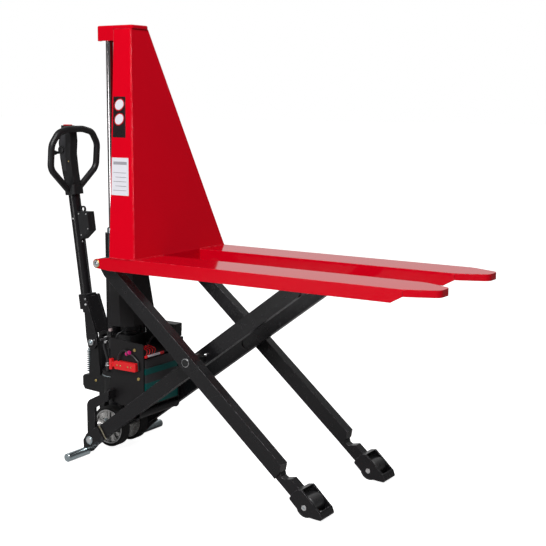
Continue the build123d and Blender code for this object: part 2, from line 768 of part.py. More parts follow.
with BuildPart() as steering_head:
    upright(sleeve[1], lift_axis_x, 0, sleeve_z)
    with BuildSketch(Plane.XZ):
        with BuildLine():
            Polyline(
                (lift_axis_x - 30, 206),
                (heel_x - 440, 209),
                (heel_x - 476, 211),
                (heel_x - 486, 226),
                (heel_x - 486, 262),
                (heel_x - 478, 270),
                (heel_x - 440, 275),
                (lift_axis_x - 30, 280),
                close=True,
            )
        make_face()
    extrude(amount=28, both=True)
    block((lift_axis_x - 62, lift_axis_x - 36), (-28, 28), (80, 216))
    block((lift_axis_x - 62, axle_x + 16), (-30, 30), (76, 103))
    for side, name in SIDES:
        with BuildSketch(side_plane(side, *lug_band)):
            outline([
                (heel_x - 452, 262),
                (tiller_pivot_x - 18, tiller_pivot_z),
                (tiller_pivot_x + 18, tiller_pivot_z),
                (heel_x - 392, 262),
            ])
            with Locations((tiller_pivot_x, tiller_pivot_z)):
                Circle(18)
        extrude(amount=lug_band[1] - lug_band[0])
    upright(sleeve[0], lift_axis_x, 0, (103, sleeve_z[1]), mode=Mode.SUBTRACT)
    through_pin(8 + pin_play, tiller_pivot_x, tiller_pivot_z, 40, mode=Mode.SUBTRACT)
    through_pin(axle_radius, axle_x, wheel_z, 40, mode=Mode.SUBTRACT)
save(steering_head, "steering_head")

with BuildPart() as wheel_axle:
    through_pin(axle_radius, axle_x, wheel_z, wheel_band[1] + 4)
save(wheel_axle, "wheel_axle")

for side, name in SIDES:
    with BuildPart() as rim:
        rim_radius = wheel_radius - tyre_thickness
        cross_pin(rim_radius, axle_x, wheel_z, side, *wheel_band)
        dish_band = (wheel_band[1] - 14, wheel_band[1])
        cross_pin(rim_radius - 6, axle_x, wheel_z, side, *dish_band, mode=Mode.SUBTRACT)
        cross_pin(18, axle_x, wheel_z, side, wheel_band[1] - 15, wheel_band[1] - 1)
        with BuildSketch(side_plane(side, wheel_band[1] - 15, wheel_band[1] - 4)):
            with Locations((axle_x, wheel_z)):
                with PolarLocations(0, 5, start_angle=90):
                    with Locations((38, 0)):
                        Rectangle(50, 9)
        extrude(amount=11)
        cross_pin(axle_radius + pin_play, axle_x, wheel_z, side, *wheel_band, mode=Mode.SUBTRACT)
    save(rim, f"wheel_rim_{name}")
    with BuildPart() as tyre:
        cross_pin(wheel_radius, axle_x, wheel_z, side, *wheel_band)
        chamfer(tyre.edges().filter_by(GeomType.CIRCLE), length=3)
        cross_pin(rim_radius, axle_x, wheel_z, side, *wheel_band, mode=Mode.SUBTRACT)
    save(tyre, f"tyre_{name}")

with BuildPart() as pivot_bolt:
    through_pin(8, tiller_pivot_x, tiller_pivot_z, 43)
    for side, name in SIDES:
        cross_pin(12, tiller_pivot_x, tiller_pivot_z, side, 42.05, 50)
save(pivot_bolt, "pivot_bolt")

with BuildPart() as return_spring:
    with BuildLine():
        Helix(pitch=8.5, height=85, radius=9, center=(spring_x, 0, 275))
    with BuildSketch(Plane(origin=(spring_x + 9, 0, 275), z_dir=(0, 1, 0.15))):
        Circle(2.1)
    sweep(is_frenet=True)
save(return_spring, "return_spring")

# ---- tiller -----------------------------------------------------------------
tiller_lean = 7.9          # degrees back from upright
tube_radius = 23.0
tube_start = 116.0
tube_end = 596.0
tube_offset = 36.0         # tube axis behind the pivot
head_base = (heel_x - 544.0, 1003.0)
head_lean = 5.0            # the loop leans forward from the tube
cheek_band = (30.0, 42.0)

tube_axis = Plane(
    origin=(tiller_pivot_x, 0, tiller_pivot_z),
    x_dir=(0, 1, 0),
    z_dir=(-sin(radians(tiller_lean)), 0, cos(radians(tiller_lean))),
)


def tiller_side(side, inner, outer):
    """Side plane on the pivot, X towards the forks and Y up along the tiller."""
    return Plane(
        origin=(tiller_pivot_x, side * (inner if side == RIGHT else outer), tiller_pivot_z),
        x_dir=(cos(radians(tiller_lean)), 0, sin(radians(tiller_lean))),
        z_dir=(0, -1, 0),
    )


with BuildPart() as tiller_tube:
    with BuildSketch(tube_axis.offset(tube_start)):
        with Locations((0, tube_offset)):
            Circle(tube_radius)
    extrude(amount=tube_end - tube_start)
    for side, name in SIDES:
        with BuildSketch(tiller_side(side, *cheek_band)) as cheek:
            outline([
                (-22, -22),
                (-27, 20),
                (-17, 176),
                (-8, 198),
                (28, 32),
                (26, -10),
                (3, -30),
            ])
            fillet(cheek.vertices(), radius=6)
        extrude(amount=cheek_band[1] - cheek_band[0])
    with BuildSketch(tiller_side(RIGHT, 0, 0)):
        outline([(-4.5, 180), (-9.5, 180), (22, 36), (27, 36)])
    extrude(amount=cheek_band[0], both=True)
    with BuildSketch(tube_axis.offset(130)):
        with Locations((0, tube_offset - 4)):
            Rectangle(2 * cheek_band[0], 40)
    extrude(amount=60)
    through_pin(8 + pin_play, tiller_pivot_x, tiller_pivot_z, 60, mode=Mode.SUBTRACT)
save(tiller_tube, "tiller_tube")

# ---- control box on the tiller with its cable eyelet ------------------------
box_half = 20.0
with BuildPart() as control_box:
    with BuildSketch(tiller_side(RIGHT, 0, 0)) as box_side:
        outline([
            (-tube_offset + tube_radius + 0.5, 404),
            (39, 438),
            (39, 512),
            (-tube_offset + tube_radius + 0.5, 518),
        ])
        fillet(box_side.vertices(), radius=3)
    extrude(amount=box_half, both=True)
    with BuildSketch(tiller_side(RIGHT, 0, 0)):
        with Locations((2, 525)):
            Circle(13)
            Circle(8, mode=Mode.SUBTRACT)
    extrude(amount=4, both=True)
save(control_box, "control_box")

# ---- handle loop and spine --------------------------------------------------
grip_radius = 13.0
socket_grip = 10.0
loop_height = 243.0
head = Plane(
    origin=(head_base[0], 0, head_base[1]),
    x_dir=(0, 1, 0),
    z_dir=(cos(radians(head_lean)), 0, -sin(radians(head_lean))),
)
loop_points = [
    (-20, -2),
    (-128, 90),
    (-128, 184),
    (-94, 230),
    (-40, loop_height),
    (40, loop_height),
    (94, 230),
    (128, 184),
    (128, 90),
    (20, -2),
]

with BuildPart() as handle_loop:
    with BuildLine(head) as loop_path:
        FilletPolyline(*loop_points, radius=[48, 50, 44, 110, 110, 44, 50, 48])
    with BuildSketch(Plane(origin=loop_path.line @ 0, z_dir=loop_path.line % 0)):
        Circle(grip_radius)
    sweep()
    socket_axis = tube_axis.offset(tube_end)
    with BuildSketch(socket_axis.offset(-socket_grip)):
        with Locations((0, tube_offset - 2)):
            RectangleRounded(58, 54, radius=10)
    extrude(amount=socket_grip + 22)
    with BuildSketch(socket_axis.offset(-socket_grip)):
        with Locations((0, tube_offset)):
            Circle(tube_radius)
    extrude(amount=socket_grip, mode=Mode.SUBTRACT)
save(handle_loop, "handle_loop")

housing_x = (heel_x - 575.0, heel_x - 533.0)
housing_y = (-26.0, 6.0)
housing_z = (1238.0, 1259.0)
button_height = 8.0
spine_half = 20.0
slot_half = 8.0
lever_x = heel_x - 580.0
lever_z = 1163.0
lever_pin_radius = 3.0
with BuildPart() as handle_spine:
    with BuildSketch(Plane.XZ) as spine_side:
        outline([
            (heel_x - 567, 1031),
            (heel_x - 578, 1070),
            (heel_x - 590, 1130),
            (heel_x - 596, 1190),
            (heel_x - 588, 1232),
            (heel_x - 552, 1246),
            (heel_x - 536, 1241),
            (heel_x - 532, 1200),
            (heel_x - 536, 1150),
            (heel_x - 528, 1080),
            (heel_x - 519, 1031),
        ])
        fillet(spine_side.vertices(), radius=6)
    extrude(amount=spine_half, both=True)
    with BuildSketch(Plane.XY.offset(lever_z - 36)):
        with Locations((heel_x - 591, 0)):
            Rectangle(58, 2 * slot_half)
    extrude(amount=72, mode=Mode.SUBTRACT)
    through_pin(lever_pin_radius + pin_play, lever_x, lever_z, spine_half + 1, mode=Mode.SUBTRACT)
    block((heel_x - 556, heel_x - 530), (-5, 5), (1021, 1032))
    block(housing_x, housing_y, housing_z)
    with BuildSketch(Plane.XY.offset(housing_z[1])):
        with Locations((sum(housing_x) / 2, sum(housing_y) / 2)):
            Rectangle(30.4, 20.4)
    extrude(amount=-8, mode=Mode.SUBTRACT)
    top_bar_x = head_base[0] + loop_height * sin(radians(head_lean))
    top_bar_z = head_base[1] + loop_height * cos(radians(head_lean))
    through_pin(grip_radius, top_bar_x, top_bar_z, 40, mode=Mode.SUBTRACT)
save(handle_spine, "handle_spine")

with BuildPart() as finger_lever:
    through_pin(9, lever_x, lever_z, slot_half - 1)
    through_pin(lever_pin_radius, lever_x, lever_z, spine_half - 1)
    with BuildSketch(Plane.XZ):
        outline([
            (lever_x, lever_z - 6),
            (lever_x, lever_z + 6),
            (lever_x - 28, lever_z - 6),
            (lever_x - 32, lever_z - 16),
        ])
    extrude(amount=slot_half - 2, both=True)
    through_pin(5.5, lever_x - 30, lever_z - 12, 36)
save(finger_lever, "finger_lever")

with BuildPart() as lift_button:
    block(
        (sum(housing_x) / 2 - 15, sum(housing_x) / 2 + 15),
        (sum(housing_y) / 2 - 10, sum(housing_y) / 2 + 10),
        (housing_z[1] - 4.5, housing_z[1] - 4.5 + button_height),
    )
    fillet(lift_button.faces().sort_by(Axis.Z)[-1].edges(), radius=1.5)
save(lift_button, "lift_button")
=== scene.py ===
"""Looks of the high-lift scissor pallet truck, built around its CAD frame.

Metres, in the CAD frame: X forward along the forks, Y to the driver's left, Z up.
"""

from math import asin, cos, pi, radians, sin

import bmesh
import bpy
from mathutils import Matrix, Vector


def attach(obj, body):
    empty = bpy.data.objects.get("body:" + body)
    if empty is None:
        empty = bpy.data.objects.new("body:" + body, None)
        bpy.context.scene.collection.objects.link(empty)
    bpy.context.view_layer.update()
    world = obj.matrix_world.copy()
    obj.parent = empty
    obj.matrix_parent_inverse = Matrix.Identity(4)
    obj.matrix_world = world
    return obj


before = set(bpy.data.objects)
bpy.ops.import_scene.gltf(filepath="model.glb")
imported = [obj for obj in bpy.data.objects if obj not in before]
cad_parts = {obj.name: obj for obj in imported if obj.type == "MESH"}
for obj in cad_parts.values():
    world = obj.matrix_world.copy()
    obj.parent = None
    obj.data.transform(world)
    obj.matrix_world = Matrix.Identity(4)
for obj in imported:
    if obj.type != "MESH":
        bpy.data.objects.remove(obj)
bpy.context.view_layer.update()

RIGHT, LEFT = -1, 1
SIDES = ((RIGHT, "right"), (LEFT, "left"))

# ---- places taken from the CAD, metres --------------------------------------
HEEL_X = -0.26725                      # front face of the mast at its foot
FORK_TOP = 0.8
LIFT_X = HEEL_X - 0.338                # axis of the lifting rod
REAR_PIVOT_Z = 0.774
LOWER_PIVOT_Z = 0.058
ROLLER_Z = 0.037
OUTER_UPPER, OUTER_LOWER = 0.50, 0.65  # outer arm, from the middle pin to its rear and front pins
INNER_LOWER = 0.665                    # inner arm, from the middle pin to the lower pivot
OUTER_ANGLE = asin((REAR_PIVOT_Z - ROLLER_Z) / (OUTER_UPPER + OUTER_LOWER))
OUTER_DOWN = Vector((cos(OUTER_ANGLE), 0, -sin(OUTER_ANGLE)))
REAR_PIVOT = Vector((HEEL_X - 0.18, 0, REAR_PIVOT_Z))
MIDDLE = REAR_PIVOT + OUTER_UPPER * OUTER_DOWN
ROLLER = MIDDLE + OUTER_LOWER * OUTER_DOWN
INNER_ANGLE = asin((MIDDLE.z - LOWER_PIVOT_Z) / INNER_LOWER)
ALONG_INNER = Vector((cos(INNER_ANGLE), 0, sin(INNER_ANGLE)))
SQUARE_INNER = Vector((-sin(INNER_ANGLE), 0, cos(INNER_ANGLE)))
LOWER_PIVOT = MIDDLE - INNER_LOWER * ALONG_INNER
TILLER_PIVOT = Vector((HEEL_X - 0.421, 0, 0.412))
TILLER_LEAN = radians(7.9)
CHASSIS_FRONT = HEEL_X - 0.104
CHASSIS_REAR = HEEL_X - 0.266
WHEEL = Vector((LIFT_X + 0.024, 0, 0.092))
FORWARD, UP = Vector((1, 0, 0)), Vector((0, 0, 1))


# ---- materials --------------------------------------------------------------
def add_node(tree, kind, inputs, **settings):
    """Add a shader node. Each input takes a value, or another node's output as a link."""
    node = tree.nodes.new(kind)
    for setting, value in settings.items():
        setattr(node, setting, value)
    for socket, value in inputs.items():
        if isinstance(value, bpy.types.NodeSocket):
            tree.links.new(value, node.inputs[socket])
        else:
            node.inputs[socket].default_value = value
    return node


def edge_highlight_and_wear_color(tree, vector, normal, color, edge_color):
    """Blend a colour towards a lighter edge colour where the surface turns sharply, broken up by noise: a
    painted highlight along edges, partly wear.
    """
    geometry = add_node(tree, "ShaderNodeNewGeometry", {})
    turn = add_node(
        tree, "ShaderNodeVectorMath", {0: normal, 1: geometry.outputs["Normal"]}, operation="DOT_PRODUCT")
    rounded = add_node(
        tree, "ShaderNodeMapRange",
        {"From Min": 0.985, "From Max": 0.90, "Value": turn.outputs["Value"]})
    edge_noise = add_node(tree, "ShaderNodeTexNoise", {"Scale": 45, "Detail": 8, "Vector": vector})
    broken_edge = add_node(
        tree, "ShaderNodeMapRange",
        {"From Min": 0.42, "From Max": 0.62, "To Max": 0.9, "Value": edge_noise.outputs["Fac"]})
    mask = add_node(
        tree, "ShaderNodeMath", {0: rounded.outputs["Result"], 1: broken_edge.outputs["Result"]},
        operation="MULTIPLY")
    # painted edge highlight, partly wear: the lighter edge colour is mixed in along turned edges
    blend = add_node(
        tree, "ShaderNodeMix", {"Factor": mask.outputs["Value"], "A": color, "B": (*edge_color, 1)},
        data_type="RGBA")
    return blend.outputs["Result"]


def make_material(
    name,
    color,
    rough,
    metal=0.0,
    specular=0.5,
    tint=0.12,
    rough_spread=0.12,
    bump=0.03,
    bump_scale=400.0,
    edge=None,
    edge_size=0.0016,
    stretch=(1, 1, 1),
):
    """Principled material with patchy colour, uneven gloss, fine bump and lighter edges, which are
    painted highlights and partly wear.
    """
    patch_scale, smudge_scale, relief_depth = 6.0, 60.0, 0.002
    material = bpy.data.materials.new(name)
    material.use_nodes = True
    tree = material.node_tree
    shader = tree.nodes["Principled BSDF"]
    shader.inputs["Metallic"].default_value = metal
    shader.inputs["Specular IOR Level"].default_value = specular

    place = add_node(tree, "ShaderNodeTexCoord", {})
    mapping = add_node(
        tree, "ShaderNodeMapping", {"Scale": stretch, "Vector": place.outputs["Object"]})
    vector = mapping.outputs["Vector"]
    bevel = add_node(tree, "ShaderNodeBevel", {"Radius": edge_size}, samples=4)

    patches = add_node(tree, "ShaderNodeTexNoise", {"Scale": patch_scale, "Detail": 6, "Vector": vector})
    shade = add_node(
        tree, "ShaderNodeMapRange",
        {"To Min": 1 - tint, "To Max": 1 + tint, "Value": patches.outputs["Fac"]})
    tinted = add_node(
        tree, "ShaderNodeVectorMath", {0: color, "Scale": shade.outputs["Result"]}, operation="SCALE")
    color_out = tinted.outputs["Vector"]
    # the edge colour paints highlights along turned edges, partly wear
    if edge is not None:
        color_out = edge_highlight_and_wear_color(tree, vector, bevel.outputs["Normal"], color_out, edge)
    tree.links.new(color_out, shader.inputs["Base Color"])

    smudges = add_node(tree, "ShaderNodeTexNoise", {"Scale": smudge_scale, "Detail": 8, "Vector": vector})
    gloss = add_node(
        tree, "ShaderNodeMapRange",
        {"To Min": max(rough - rough_spread, 0.02), "To Max": min(rough + rough_spread, 1.0),
         "Value": smudges.outputs["Fac"]})
    tree.links.new(gloss.outputs["Result"], shader.inputs["Roughness"])

    pits = add_node(tree, "ShaderNodeTexNoise", {"Scale": bump_scale, "Detail": 3, "Vector": vector})
    relief = add_node(
        tree, "ShaderNodeBump",
        {"Strength": bump, "Distance": relief_depth, "Height": pits.outputs["Fac"],
         "Normal": bevel.outputs["Normal"]})
    tree.links.new(relief.outputs["Normal"], shader.inputs["Normal"])
    return material


# the lighter red edge colour is a painted highlight along the mast bends and fork edges, partly wear
red_paint = make_material(
    "red_enamel", (0.60, 0.0002, 0.010), 0.08, specular=0.15, tint=0.05, rough_spread=0.04,
    bump=0.015, bump_scale=90, edge=(0.80, 0.07, 0.10), edge_size=0.003)
# the pale grey edge colour is a painted highlight line along the arm edges, partly wear
black_paint = make_material(
    "black_powder_coat", (0.0075, 0.0070, 0.0080), 0.24, specular=0.34, tint=0.25, bump=0.16,
    bump_scale=500, edge=(0.20, 0.19, 0.205), edge_size=0.002)
matte_black = make_material(
    "matte_black_sheet", (0.0085, 0.0078, 0.0085), 0.42, specular=0.26, tint=0.2, bump=0.12,
    bump_scale=650, edge=(0.05, 0.05, 0.05))
cast_black = make_material(
    "black_casting", (0.0060, 0.0060, 0.0065), 0.36, specular=0.36, tint=0.3, bump=0.35,
    bump_scale=260, edge=(0.06, 0.06, 0.065), edge_size=0.002)
grip_plastic = make_material(
    "handle_plastic", (0.009, 0.009, 0.010), 0.42, specular=0.4, tint=0.2, bump=0.15,
    bump_scale=900, edge=(0.03, 0.03, 0.032))
chrome = make_material(
    "ground_chrome", (0.56, 0.53, 0.54), 0.14, metal=1.0, tint=0.05, rough_spread=0.05,
    bump=0.02, bump_scale=300, stretch=(1, 1, 12))
zinc = make_material(
    "zinc_plate", (0.50, 0.58, 0.61), 0.30, metal=1.0, tint=0.25, bump=0.05, bump_scale=300,
    edge=(0.7, 0.72, 0.74), edge_size=0.001)
bright_steel = make_material(
    "turned_steel", (0.80, 0.80, 0.81), 0.30, metal=1.0, tint=0.15, bump=0.05, bump_scale=500)
brass = make_material(
    "yellow_passivate", (0.62, 0.46, 0.17), 0.3, metal=1.0, tint=0.25, bump=0.05)
roller_plastic = make_material(
    "dark_roller", (0.018, 0.018, 0.019), 0.30, tint=0.2, bump=0.06, edge=(0.16, 0.16, 0.17))
rim_cast = make_material(
    "cast_aluminium", (0.58, 0.57, 0.56), 0.26, metal=1.0, tint=0.2, bump=0.15, bump_scale=220,
    edge=(0.8, 0.8, 0.8), edge_size=0.001)
tyre_rubber = make_material(
    "tyre_rubber", (0.012, 0.012, 0.012), 0.65, specular=0.3, tint=0.3, bump=0.2, bump_scale=350)
spring_steel = make_material(
    "oiled_spring", (0.05, 0.07, 0.08), 0.3, metal=0.8, tint=0.3, bump=0.05)
battery_plastic = make_material(
    "battery_case", (0.028, 0.027, 0.030), 0.45, tint=0.2, bump=0.15, bump_scale=700,
    edge=(0.05, 0.05, 0.05))
teal_plastic = make_material(
    "teal_band", (0.001, 0.085, 0.080), 0.45, specular=0.25, tint=0.15, bump=0.1, bump_scale=700)
red_plastic = make_material(
    "red_connector", (0.72, 0.006, 0.010), 0.35, specular=0.5, tint=0.08, bump=0.08, bump_scale=800,
    edge=(0.8, 0.12, 0.08), edge_size=0.001)
tie_plastic = make_material("cable_tie", (0.62, 0.015, 0.20), 0.4, tint=0.1, bump=0.05)
cable_rubber = make_material(
    "cable_sheath", (0.013, 0.013, 0.014), 0.35, specular=0.5, tint=0.2, bump=0.05)
panel_grey = make_material(
    "spine_panel_grey", (0.030, 0.030, 0.033), 0.45, specular=0.4, tint=0.15, bump=0.12,
    bump_scale=900)
cap_grey = make_material("valve_cap_grey", (0.42, 0.33, 0.33), 0.35, tint=0.15, bump=0.05)
label_white = make_material("label_paper", (0.66, 0.65, 0.70), 0.4, tint=0.03, bump=0.01)
label_grey = make_material("label_print", (0.30, 0.29, 0.32), 0.45, tint=0.1, bump=0.01)
label_black = make_material("sticker_black", (0.012, 0.008, 0.009), 0.3, tint=0.1, bump=0.01)
label_red = make_material("sticker_red", (0.45, 0.006, 0.012), 0.35, tint=0.05, bump=0.01)
weld_metal = make_material(
    "weld_bead", (0.20, 0.18, 0.13), 0.4, metal=0.6, tint=0.4, bump=0.4, bump_scale=500)

node_materials = {
    red_paint: [
        "fork_right", "fork_left", "mast_plate", "mast_flange_right", "mast_flange_left", "mast_cap",
    ],
    black_paint: [
        "outer_arm_right", "outer_arm_left", "inner_arm_right", "inner_arm_left", "inner_cross_tube",
        "tiller_tube", "cylinder_tube", "pivot_bracket_right", "pivot_bracket_left",
        "foot_bracket_right", "foot_bracket_left", "heel_plate_right", "heel_plate_left",
    ],
    matte_black: [
        "chassis_frame", "side_panel_right", "side_panel_left", "rod_cover", "controller_box",
        "pump_motor", "oil_tank",
    ],
    cast_black: ["steering_head", "pump_block"],
    grip_plastic: ["handle_loop", "handle_spine", "control_box", "finger_lever"],
    chrome: ["piston_rod"],
    zinc: ["stabiliser_feet", "wheel_axle", "steering_bearing", "cylinder_gland"],
    bright_steel: [
        "rear_pivot_pins", "roller_axles", "main_pivot_pins", "lower_pivot_pins",
        "fork_roller_axles", "pivot_bolt",
    ],
    brass: ["panel_screws"],
    roller_plastic: ["load_roller_right", "load_roller_left", "fork_roller_right", "fork_roller_left"],
    rim_cast: ["wheel_rim_right", "wheel_rim_left"],
    tyre_rubber: ["tyre_right", "tyre_left"],
    spring_steel: ["return_spring"],
    battery_plastic: ["battery_case", "battery_lid"],
    red_plastic: ["connector_socket", "connector_plug", "lift_button"],
    cable_rubber: ["connector_cables", "hydraulic_hose"],
}
for material, names in node_materials.items():
    for name in names:
        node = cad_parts[name]
        node.data.materials.clear()
        node.data.materials.append(material)


# ---- mesh helpers -----------------------------------------------------------
def finish_piece(builder, name, material, body, bevel=0.0, smooth=True):
    """Turn a bmesh into an object that rides on a body."""
    mesh = bpy.data.meshes.new(name)
    bmesh.ops.recalc_face_normals(builder, faces=builder.faces)
    builder.to_mesh(mesh)
    builder.free()
    piece = bpy.data.objects.new(name, mesh)
    bpy.context.collection.objects.link(piece)
    mesh.materials.append(material)
    if smooth:
        mesh.shade_smooth()
        mesh.set_sharp_from_angle(angle=radians(35))
    if bevel:
        rounding = piece.modifiers.new("rounding", "BEVEL")
        rounding.width = bevel
        rounding.segments = 2
        rounding.limit_method = "ANGLE"
    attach(piece, body)


def box_piece(name, low, high, material, body, bevel):
    """Box between two corners with rounded edges."""
    builder = bmesh.new()
    low, high = Vector(low), Vector(high)
    bmesh.ops.create_cube(builder, size=1)
    place = Matrix.Translation((low + high) / 2) @ Matrix.Diagonal((*(high - low), 1))
    bmesh.ops.transform(builder, matrix=place, verts=builder.verts)
    finish_piece(builder, name, material, body, bevel)


def skin_rings(builder, rings):
    """Join rings of as many vertices each into a closed skin with flat ends."""
    count = len(rings[0])
    for below, above in zip(rings, rings[1:]):
        for k in range(count):
            after = (k + 1) % count
            builder.faces.new((below[k], below[after], above[after], above[k]))
    builder.faces.new(rings[0][::-1])
    builder.faces.new(rings[-1])


def ring_of_verts(builder, centre, first, second, radius, segments):
    """New vertices evenly round a circle in the plane of two directions."""
    angles = (2 * pi * k / segments for k in range(segments))
    return [builder.verts.new(centre + radius * (cos(a) * first + sin(a) * second)) for a in angles]


def lathe(builder, profile, origin, direction, segments=32):
    """Add a closed turned shape: profile is (radius, height) pairs along the direction."""
    turn = UP.rotation_difference(Vector(direction).normalized()).to_matrix().to_4x4()
    place = Matrix.Translation(origin) @ turn
    rings = []
    for radius, height in profile:
        ring = []
        for k in range(segments):
            angle = 2 * pi * k / segments
            spot = place @ Vector((radius * cos(angle), radius * sin(angle), height))
            ring.append(builder.verts.new(spot))
        rings.append(ring)
    skin_rings(builder, rings)


def disc(builder, radius, thickness, origin, direction, segments=36):
    """Add a flat disc or a short plain bar."""
    lathe(builder, [(radius, 0), (radius, thickness)], origin, direction, segments)


def smooth_path(points, steps=8):
    """Catmull-Rom curve through the points."""
    padded = [2 * points[0] - points[1], *points, 2 * points[-1] - points[-2]]
    path = []
    for a, b, c, d in zip(padded, padded[1:], padded[2:], padded[3:]):
        for k in range(steps):
            t = k / steps
            path.append(
                0.5 * (2 * b + (c - a) * t + (2 * a - 5 * b + 4 * c - d) * t * t
                       + (3 * b - a - 3 * c + d) * t ** 3))
    path.append(points[-1])
    return path


def tube(builder, points, radius, segments=10):
    """Add a round tube along a smoothed path."""
    path = smooth_path([Vector(p) for p in points])
    rings = []
    across = None
    for k, spot in enumerate(path):
        ahead = path[min(k + 1, len(path) - 1)] - path[max(k - 1, 0)]
        ahead.normalize()
        if across is None:
            across = ahead.orthogonal().normalized()
        across = (across - ahead * across.dot(ahead)).normalized()
        rings.append(ring_of_verts(builder, spot, across, ahead.cross(across), radius, segments))
    skin_rings(builder, rings)


def hoop(builder, centre, first, second, hoop_radius, radius, corners):
    """Add a thin round hoop in the plane of two directions."""
    angles = (2 * pi * k / corners for k in range(corners + 1))
    points = [centre + hoop_radius * (cos(a) * first + sin(a) * second) for a in angles]
    tube(builder, points, radius, 8)


def screw_head(builder, spot, direction, radius, height):
    """Pan head with a hexagon socket."""
    profile = [
        (radius, 0), (radius, height * 0.5), (radius * 0.86, height * 0.88), (radius * 0.6, height),
    ]
    lathe(builder, profile, spot, direction, 20)
    lathe(builder, [(radius * 0.42, height * 0.9), (radius * 0.36, height * 1.06)], spot, direction, 6)


def washer_and_nut(builder, spot, direction, radius, height):
    """Round washer under a chamfered hexagon nut."""
    disc(builder, radius * 1.25, height * 0.2, spot, direction, 28)
    lathe(
        builder,
        [(radius * 0.9, height * 0.2), (radius, height * 0.35), (radius, height * 0.85),
         (radius * 0.85, height), (radius * 0.5, height), (radius * 0.45, height * 1.15)],
        spot, direction, 6)


# ---- mast: labels without lettering -----------------------------------------
MAST_HEIGHT = 0.818
FLANGE_HALF = (0.27, 0.0485)     # half the mast width, at the foot and at the top
FLANGE_FRONT = (0.005, 0.195)    # setback of the flange's front edge, at the foot and at the top
FLANGE_REAR = (0.118, 0.274)     # setback of its rear edge, at the foot and at the top
STICKER_LIFT = 0.0002
PRINT_LIFT = 0.0007
PRINT_THICKNESS = 0.0002


def between(ends, share):
    """Value a share of the way from the first end to the second."""
    return ends[0] + (ends[1] - ends[0]) * share


def flange_normal(side):
    """Outward direction of a leaning mast flange."""
    return Vector((0, side * MAST_HEIGHT, FLANGE_HALF[0] - FLANGE_HALF[1])).normalized()


def flange_spot(side, height_share, depth_share, lift):
    """Point above the outer face of a mast flange, by its shares of the height and the depth."""
    edges = (HEEL_X - between(FLANGE_FRONT, height_share), HEEL_X - between(FLANGE_REAR, height_share))
    half = between(FLANGE_HALF, height_share)
    spot = Vector((between(edges, depth_share), side * half, FORK_TOP + MAST_HEIGHT * height_share))
    return spot + flange_normal(side) * lift


def flange_patch(builder, side, heights, depths, lift, thickness=0.0004):
    """Thin sheet on a flange between two height shares and two depth shares."""
    (low, high), (near, far) = heights, depths
    corners = ((low, near), (low, far), (high, far), (high, near))
    rings = [
        [builder.verts.new(flange_spot(side, *corner, level)) for corner in corners]
        for level in (lift + thickness, lift)
    ]
    skin_rings(builder, rings)


def add_mast_labels(side, name):
    """Data label with plain rules, and a black sticker with two blank discs."""
    data_label = bmesh.new()
    flange_patch(data_label, side, (0.268, 0.430), (0.17, 0.96), STICKER_LIFT)
    finish_piece(data_label, f"data_label_{name}", label_white, "fork_frame", smooth=False)

    rules = bmesh.new()
    rule_count, first_rule, rule_pitch, rule_height = 5, 0.288, 0.019, 0.0022
    for k in range(rule_count):
        low = first_rule + rule_pitch * k
        far = 0.87 - 0.09 * (k % 2)
        flange_patch(rules, side, (low, low + rule_height), (0.27, far), PRINT_LIFT, PRINT_THICKNESS)
    flange_patch(rules, side, (0.400, 0.413), (0.25, 0.88), PRINT_LIFT, PRINT_THICKNESS)
    finish_piece(rules, f"label_rules_{name}", label_grey, "fork_frame", smooth=False)

    sticker = bmesh.new()
    flange_patch(sticker, side, (0.518, 0.697), (0.30, 0.94), STICKER_LIFT)
    finish_piece(sticker, f"plain_sticker_{name}", label_black, "fork_frame", smooth=False)

    rings, discs = bmesh.new(), bmesh.new()
    ring_radius, disc_radius, thickness, middle = 0.0235, 0.0195, 0.0003, 0.62
    for height_share in (0.661, 0.597):
        ring_spot = flange_spot(side, height_share, middle, PRINT_LIFT)
        disc_spot = flange_spot(side, height_share, middle, PRINT_LIFT + thickness)
        disc(rings, ring_radius, thickness, ring_spot, flange_normal(side), 40)
        disc(discs, disc_radius, thickness, disc_spot, flange_normal(side), 40)
    finish_piece(rings, f"sticker_rings_{name}", label_red, "fork_frame", smooth=False)
    finish_piece(discs, f"sticker_discs_{name}", label_white, "fork_frame", smooth=False)


for side, name in SIDES:
    add_mast_labels(side, name)


# ---- scissor: pin ends, grease nipples and welds ----------------------------
def add_pin_ends():
    """Turned faces on the ends of the pins, seen from outside and between the arms."""
    rear_rings, rear_centres, cores, washers, axles = (bmesh.new() for _ in range(5))
    for side in (RIGHT, LEFT):
        out = Vector((0, side, 0))
        lathe(
            rear_rings, [(0.0150, 0), (0.0150, 0.001), (0.0140, 0.002)],
            REAR_PIVOT + out * 0.2702, out, 36)
        lathe(
            rear_centres, [(0.0060, 0), (0.0060, 0.0008), (0.0045, 0.0016)],
            REAR_PIVOT + out * 0.273, out, 24)
        disc(cores, 0.0136, 0.0006, MIDDLE + out * 0.2481, out)
        disc(cores, 0.0185, 0.051, MIDDLE + out * 0.1525, out)
        disc(cores, 0.0149, 0.0005, MIDDLE + out * 0.1242, out)
        lathe(
            washers, [(0.0165, 0), (0.0165, 0.0012), (0.0155, 0.002)],
            LOWER_PIVOT + out * 0.1652, out, 36)
        lathe(axles, [(0.0045, 0), (0.0040, 0.0007)], ROLLER + out * 0.2635, out, 20)
    finish_piece(rear_rings, "rear_pin_rings", brass, "fork_frame")
    finish_piece(rear_centres, "rear_pin_centres", zinc, "fork_frame")
    finish_piece(cores, "middle_pin_cores", cast_black, "inner_arms")
    finish_piece(washers, "lower_pin_washers", zinc, "chassis")
    finish_piece(axles, "axle_centres", zinc, "outer_arms")


